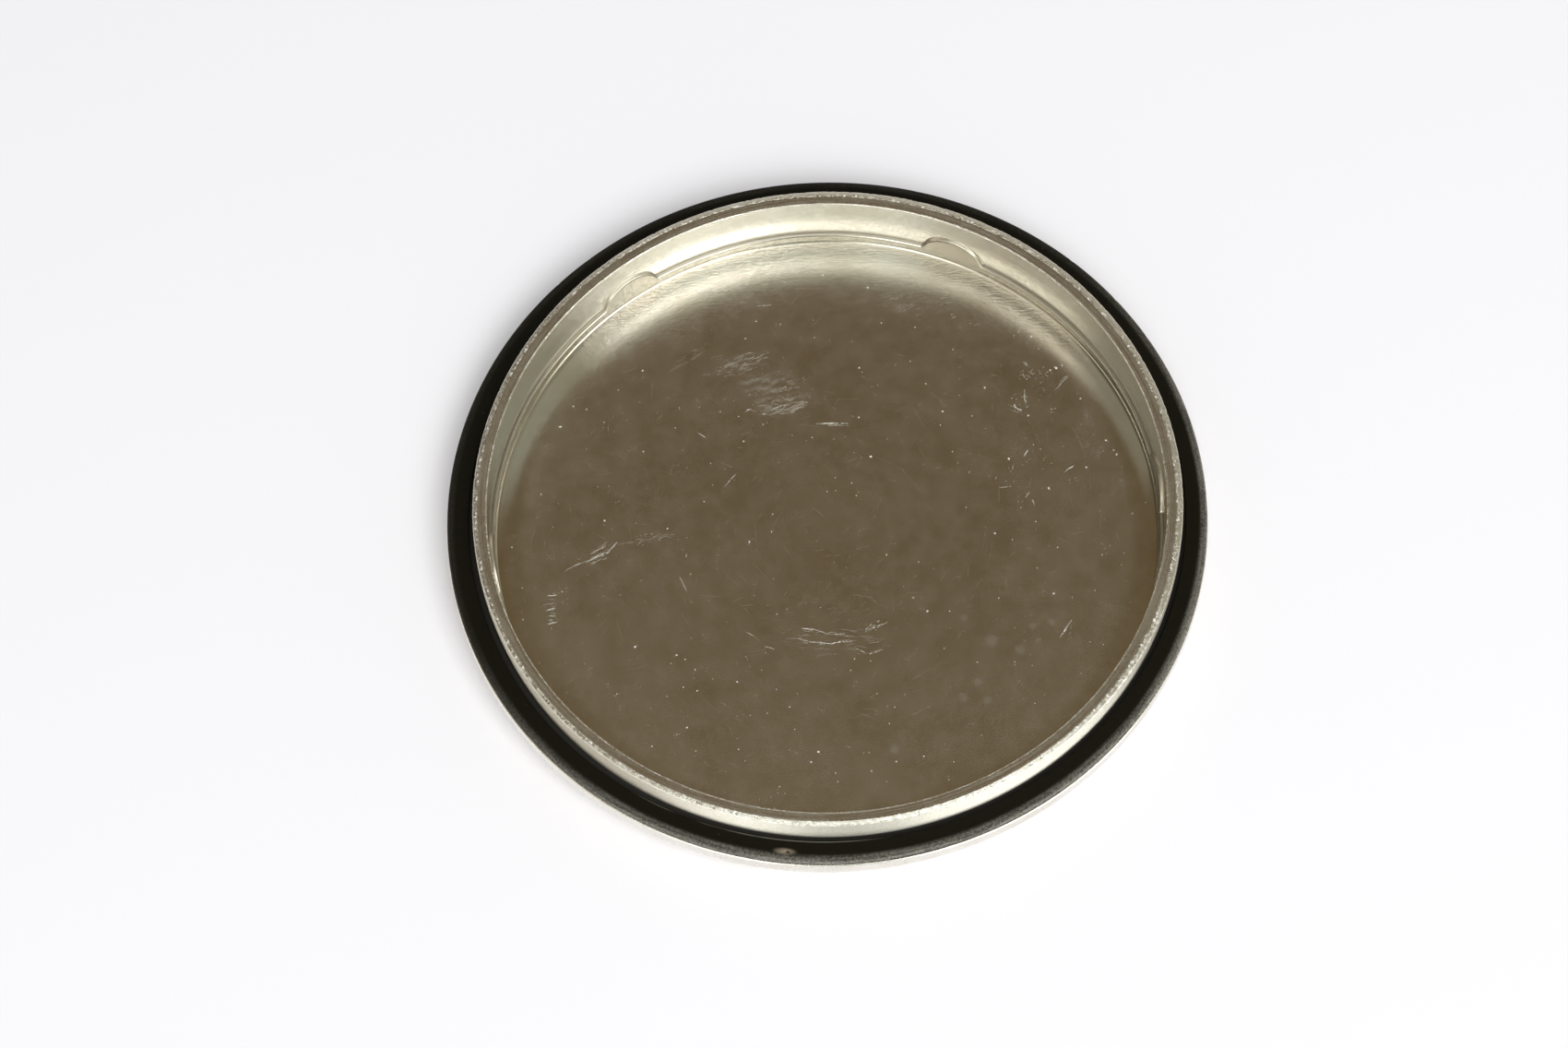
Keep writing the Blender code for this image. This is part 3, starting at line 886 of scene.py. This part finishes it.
def collar_look():
    mat, net, bsdf, place = start("collar_metal_look", metallic=1.0)
    _, _, z, radius, angle = polar(net, place)
    turned = turning(net, angle, radius, z, around=3.0, across=4.0, detail=4)
    grit = net.noise(place, scale=4.0, detail=4, rough=0.65)
    patchy = net.noise(place, scale=0.35, detail=3, rough=0.6)
    # masks for places on the section
    outside = radius.ramp(33.20, 33.30) * z.ramp(TOP - 0.16, TOP - 0.30)
    chamfer = (radius.ramp(COLLAR_FLAT - 0.05, COLLAR_FLAT + 0.05)
               * z.ramp(TOP - 0.30, TOP - 0.20))
    inner_edge = radius.ramp(BORE_R + 0.22, BORE_R + 0.06) * z.ramp(TOP - 0.16, TOP - 0.06)
    inner = radius.ramp(BORE_R + 0.05, BORE_R + 0.02)

    _, (spark_cell, depth_cell, glint_cell) = net.cells(net.mapping(place), scale=5.0)
    spark = chamfer.max(inner_edge) * spark_cell.ramp(0.55, 0.75)
    dull = patchy.ramp(0.40, 0.65) * 0.03
    fine = net.noise(net.combine(angle * 1.4, radius * 15.0, 0.0),
                     scale=1.0, detail=2, rough=0.6)
    lines = fine.ramp(0.55, 0.70) * z.ramp(TOP - 0.30, TOP - 0.02)

    tint = net.mix(grit.ramp(0.35, 0.7), METAL, dimmed(0.88, 0.86, 0.83))
    # painted shade: black on the flange beside the neck, in the gap by the seal, fading to a
    # lesser darkening where the seal hides it
    groove_shade = radius.ramp(33.25, 33.35) * z.ramp(4.85, 4.55)
    groove_shade = groove_shade * radius.ramp(34.35, 34.65, 1.0, 0.38)
    tint = net.mix(groove_shade * 0.97, tint, (0.008, 0.0075, 0.005))
    # tiny nicks along both edges of the top, with painted glints: pale specks that stand in
    # for the light they catch
    rim = (radius.window(33.02, 33.30, 0.04) * z.ramp(TOP - 0.20, TOP - 0.10)).max(inner_edge)
    glint = rim * glint_cell.ramp(0.84, 0.90)
    tint = net.mix(glint * 0.8, tint, (0.95, 0.93, 0.87))
    metallic = 0.975 - groove_shade * 0.955 - glint * 0.60
    # roughness: turned metal, smoother in the bore, roughest outside
    rough = (turned.ramp(0.3, 0.7, 0.20, 0.30) + inner * -0.12 + dull + lines * 0.16
             + outside * 0.34 + spark * 0.25)
    net.fill(bsdf, {"Base Color": tint, "Metallic": metallic, "Roughness": rough})
    amount = outside * 0.90 + 0.10
    net.fill(bsdf, {"Specular IOR Level": groove_shade.scaled(-0.45, 0.5)})
    anisotropic(net, bsdf, amount)
    # relief: turning and grit, upright lines in the bore, nicked edges
    upright = net.noise(net.combine(angle * 110.0, z * 0.35, 0.0),
                        scale=1.0, detail=3, rough=0.6)
    height = turned * 0.5 + grit * 0.5 + upright * inner * 0.55
    surface = bump(net, height, strength=0.25, distance=0.00003)
    edges = chamfer.max(inner_edge) * depth_cell
    net.fill(bsdf, {"Normal": bump(net, edges, strength=0.6, distance=0.00008,
                                   normal=surface)})
    return mat


def shell_look():
    mat, net, bsdf, place = start("shell_metal_look", metallic=1.0)
    x, y, z, radius, angle = polar(net, place)
    cloud = net.noise(place, scale=0.20, detail=4, rough=0.6)
    grit = net.noise(place, scale=3.0, detail=4, rough=0.65)
    flat = net.combine(x, y, 0.0)
    # two sets of crossing scratches, over traces of turning
    one_way = streaks(net, flat, 25, along=0.15, across=6.0, low=0.60, high=0.78, seed=5.0)
    other_way = streaks(net, flat, -50, along=0.15, across=6.0, low=0.62, high=0.78, seed=8.0)
    turned = turning(net, angle, radius, z, around=4.0, across=5.0, detail=3)
    scratches = one_way.max(other_way)
    tint = net.mix(cloud.ramp(0.35, 0.7), (0.83, 0.81, 0.76), (0.76, 0.73, 0.66))
    tint = net.mix(scratches * 0.35, tint, (0.90, 0.88, 0.84))
    rough = grit.ramp(0.3, 0.7, 0.18, 0.30) + scratches * 0.15
    anisotropic(net, bsdf, 0.4)
    height = turned * 0.4 + grit * 0.4 - scratches * 0.5
    net.fill(bsdf, {"Base Color": tint, "Roughness": rough,
                    "Normal": bump(net, height, strength=0.30, distance=0.00003)})
    return mat


def seal_look():
    mat, net, bsdf, place = start("seal_rubber_look")
    x, y, z, radius, angle = polar(net, place)
    fine = net.noise(place, scale=4.5, detail=4, rough=0.7)
    mid = net.noise(place, scale=1.1, detail=3, rough=0.6)
    drag = turning(net, angle, radius, z, around=6.0, across=3.0, detail=3)
    # the outer shoulder is grey: a little rubbed all round, and much more on the front right,
    # a painted sheen where the light falls
    side = facing(net, angle, math.radians(-54)).ramp(-0.30, 0.55)
    wear = radius.ramp(35.25, 35.75) * side.scaled(0.88, 0.12)
    wear = wear * (fine * 0.6 + drag * 0.4).ramp(0.38, 0.62, 0.25, 1.05)
    # a light chip at the front, and lint all round
    chip = blob(net, net.combine(x, y, 0.0), -5.6, -34.75, half_x=1.30, half_y=0.42,
                degrees=-9, soft=0.9) * mid.ramp(0.30, 0.50)
    lint = specks(net, place, scale=1.2, share=0.30, size=0.10, seed=5.0) * 0.6
    # painted reflection: the grey turns paler at the outermost edge, as it faces the pale
    # floor
    rim = net.mix(radius.ramp(35.80, 36.02), (0.130, 0.123, 0.100), (0.24, 0.23, 0.195))
    tint = net.mix(wear, (0.0058, 0.0050, 0.0024), rim)
    # its inner edge catches the light at the front, a little to the left
    inner = (radius.ramp(34.20, 34.08)
             * facing(net, angle, math.radians(-104)).ramp(0.93, 0.985))
    tint = net.mix(inner * drag.ramp(0.30, 0.55), tint, (0.15, 0.15, 0.12))
    tint = net.mix(chip * 0.8, tint, (0.31, 0.26, 0.18))
    tint = net.mix(lint * 0.35, tint, (0.35, 0.33, 0.29))
    rough = mid.ramp(0.3, 0.7, 0.50, 0.68)
    normal = bump(net, fine * 0.6 + drag * 0.4, strength=0.45, distance=0.00006)
    net.fill(bsdf, {"Base Color": tint, "Roughness": rough, "Specular IOR Level": 0.11,
                    "Normal": normal})
    return mat


def plain(name, colour, metallic, rough):
    mat = bpy.data.materials.new(name)
    mat.use_nodes = True
    inputs = mat.node_tree.nodes["Principled BSDF"].inputs
    inputs["Base Color"].default_value = (*colour, 1)
    inputs["Metallic"].default_value = metallic
    inputs["Roughness"].default_value = rough
    return mat


# object, look, body it rides on, material slot, CAD piece it replaces
DRESSED = (
    (shell, shell_look(), "tin_half", "shell_metal", "outer_shell"),
    (collar, collar_look(), "tin_half", "collar_metal", "collar_ring"),
    (liner, liner_look(), "tin_half", "liner_metal", "floor_liner"),
    (seal, seal_look(), "seal", "seal_rubber", "sealing_ring"))

for shade in (plain("mark_bright", (0.78, 0.755, 0.69), metallic=0.15, rough=0.45),
              plain("mark_mid", (0.50, 0.47, 0.39), metallic=0.20, rough=0.45),
              plain("mark_faint", (0.22, 0.19, 0.14), metallic=0.25, rough=0.40)):
    marks.data.materials.append(shade)
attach(marks, "tin_half")
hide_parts("floor_liner")

for obj, look, body, slot, piece in DRESSED:
    obj.data.materials.append(look)
    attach(obj, body)
    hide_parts(piece)


# --------------------------------------------------------------- the setting
def ground_look():
    """Matt and pale. It is clear from below, and has a hole that the tin
    hides, so that the tin's underside can be seen."""
    mat = plain("pale_floor_look", (0.90, 0.892, 0.905), metallic=0.0, rough=0.9)
    net = Nodes(mat.node_tree)
    bsdf = mat.node_tree.nodes["Principled BSDF"]
    net.fill(bsdf, {"Specular IOR Level": 0.1})
    geometry = net.new("ShaderNodeNewGeometry")
    distance = net.vmath('LENGTH', net.out(geometry, "Position"))
    hole = net.math('LESS_THAN', distance, 33.3 * MM)
    clear = net.out(geometry, "Backfacing").max(hole)
    see_through = net.out(net.new("ShaderNodeBsdfTransparent"))
    shader = net.new("ShaderNodeMixShader", {0: clear, 1: net.out(bsdf), 2: see_through})
    net.put(mat.node_tree.nodes["Material Output"].inputs[0], net.out(shader))
    return mat


def build_ground():
    half = 3.0                  # metres
    mesh = bpy.data.meshes.new("ground")
    mesh.from_pydata([(-half, -half, 0), (half, -half, 0), (half, half, 0), (-half, half, 0)],
                     [], [(0, 1, 2, 3)])
    ground = link_object("pale_floor", mesh)
    ground.location = (0, 0, -0.00001)
    mesh.materials.append(ground_look())


# Soft patches of the room, in the order they are laid on: azimuth from, to
# and softness, elevation from, to and softness (degrees), colour
ROOM_PATCHES = [
    (-106, -38, 12, 60.5, 76, 2, (1.6, 1.58, 1.40)),
    (-104, -46, 10, -5, 20, 4, (1.6, 1.5, 1.25)),
    (78, 150, 12, 54, 76, 3, (0.30, 0.31, 0.25)),
    (-156, -104, 12, 54, 76, 3, (0.27, 0.26, 0.20)),
]


def build_world():
    """The room seen in reflections; other rays meet an even soft grey.

    Azimuth is 0 towards the camera's side (-Y) and grows towards +X."""
    world = bpy.data.worlds.new("studio")
    bpy.context.scene.world = world
    world.use_nodes = True
    world.node_tree.nodes.clear()
    net = Nodes(world.node_tree)
    output = net.new("ShaderNodeOutputWorld")
    coords = net.new("ShaderNodeTexCoord")
    x, y, z = net.split(net.out(coords, "Generated"))
    height = net.math('ARCSINE', z) * (180 / math.pi)
    azimuth = net.math('ARCTAN2', x, y * -1.0) * (180 / math.pi)

    # a big soft source on the camera's side, in a high and a low part, with
    # something grey before its middle
    across = azimuth.window(-40, 72, 12)
    high_part = across * height.window(61.0, 76, 1.2)
    low_part = across * height.window(3, 62, 4)
    upper_core = azimuth.window(-12, 15, 5) * height.window(44, 60, 1.5)
    lower_core = azimuth.window(-12, 16, 3) * height.window(-8, 58, 2)
    core = upper_core.max(lower_core)

    # the room: left and right sides, paler low at the far side, brown above
    brown = net.mix(height.ramp(59.5, 67.0), (0.102, 0.067, 0.031), (0.146, 0.103, 0.054))
    side = net.mix(x.ramp(-0.3, 0.3), (0.15, 0.122, 0.080), (0.34, 0.31, 0.23))
    away = y.ramp(0.1, 0.5) * height.ramp(50, 36)
    away = away * net.math('ABSOLUTE', x).ramp(0.45, 0.25)
    side = net.mix(away, side, (0.48, 0.45, 0.37))
    room = net.mix(height.ramp(72, 60), brown, side)
    room = net.mix(y.ramp(0.2, 0.4) * height.ramp(46, 51), room, brown)

    # the low part is grey above and bright towards its foot
    low_white = net.mix(height.ramp(33, 25), (0.60, 0.65, 0.58), (5.0, 5.0, 4.7))
    lit = net.mix(low_part, room, low_white)
    for left, right, soft, low, high, fade, colour in ROOM_PATCHES:
        patch = azimuth.window(left, right, soft) * height.window(low, high, fade)
        lit = net.mix(patch, lit, colour)
    # the high part is brighter to the right
    high_white = net.mix(azimuth.ramp(6, 34), (2.2, 2.2, 2.1), (4.2, 4.2, 4.1))
    lit = net.mix(high_part, lit, high_white)
    lit = net.mix(core, lit, (0.50, 0.54, 0.45))
    # below the horizon: a soft pale source on the right and a darker left
    under = net.mix(x.ramp(-0.35, 0.30), (0.30, 0.29, 0.26), (0.95, 0.94, 0.90))
    lit = net.mix(height.ramp(-12, -30), lit, under)
    glossy = net.out(net.new("ShaderNodeLightPath"), "Is Glossy Ray")
    colour = net.mix(glossy, (0.50, 0.50, 0.505), lit)
    net.put(output.inputs[0], net.out(net.new("ShaderNodeBackground", {0: colour})))


def build_key_light():
    """A softbox in front and above, left out of reflections. In metres."""
    key = bpy.data.lights.new("key_softbox", 'AREA')
    key.shape = 'RECTANGLE'
    key.size = 0.7
    key.size_y = 0.6
    key.energy = 9.5
    obj = link_object("key_softbox", key)
    toward = Vector((0.20, -0.58, 0.79)).normalized()
    obj.location = toward * 1.1
    obj.rotation_euler = toward.to_track_quat('Z', 'Y').to_euler()
    obj.visible_glossy = False


def build_camera():
    elevation = math.radians(63.47)
    roll = -0.0525              # radians
    distance = 0.4104           # metres, as is the target
    target = Vector((-0.004104, -0.002556, TOP * MM))
    forward = Vector((0, math.cos(elevation), -math.sin(elevation)))
    level = Vector((1, 0, 0))
    upright = level.cross(forward)
    right = math.cos(roll) * level + math.sin(roll) * upright
    up = -math.sin(roll) * level + math.cos(roll) * upright
    place = target - forward * distance

    camera = bpy.data.cameras.new("camera")
    camera.sensor_width = 36.0
    camera.lens = 100.0
    camera.clip_start = 0.01
    camera.clip_end = 20
    obj = link_object("camera", camera)
    matrix = Matrix.Identity(4)
    for i in range(3):
        matrix[i][0] = right[i]
        matrix[i][1] = up[i]
        matrix[i][2] = -forward[i]
        matrix[i][3] = place[i]
    obj.matrix_world = matrix
    bpy.context.scene.camera = obj


build_ground()
build_world()
build_key_light()
build_camera()
bpy.context.scene.view_settings.view_transform = 'Standard'
bpy.context.scene.view_settings.look = 'None'
